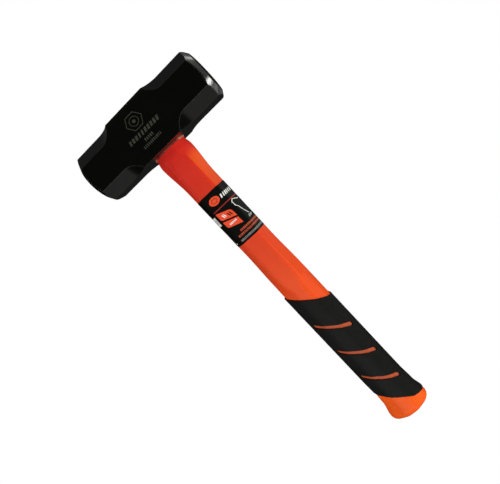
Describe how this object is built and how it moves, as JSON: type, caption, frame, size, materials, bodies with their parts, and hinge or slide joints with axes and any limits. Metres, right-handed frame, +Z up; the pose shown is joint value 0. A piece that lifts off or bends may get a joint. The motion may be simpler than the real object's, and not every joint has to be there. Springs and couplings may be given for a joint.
{
  "type": "sledgehammer",
  "caption": "Short-handled double-faced sledgehammer: chamfered forged head on a moulded oval handle with a flared butt and a slanted rubber grip.",
  "frame": {"origin": "on the resting face, which is the end of the eye away from the handle, under the middle of the head; the hammer stands on its head", "axes": "+Z up the handle to the butt; X along the head from struck face to struck face; -Y and +Y out of the cheeks"},
  "size_m": [0.132, 0.046, 0.355],
  "materials": {
    "black_paint": "gloss black paint on forged steel, with polished bevels",
    "resin": "cast epoxy, slightly cloudy",
    "glass_fibre": "sawn pultruded glass fibre",
    "sealant": "smooth bead of sealing resin",
    "orange_plastic": "moulded plastic, satin gloss",
    "black_rubber": "matte moulded rubber",
    "printed_film": "printed shrink film",
    "polished_steel": "ground and polished faces and bevels"
  },
  "bodies": {
    "root": {"head": "black_paint", "eye_resin": "resin", "core_rod": "glass_fibre", "neck_bead": "sealant", "handle_jacket": "orange_plastic", "grip_sleeve": "black_rubber", "label_sleeve": "printed_film"}
  },
  "joints": []
}
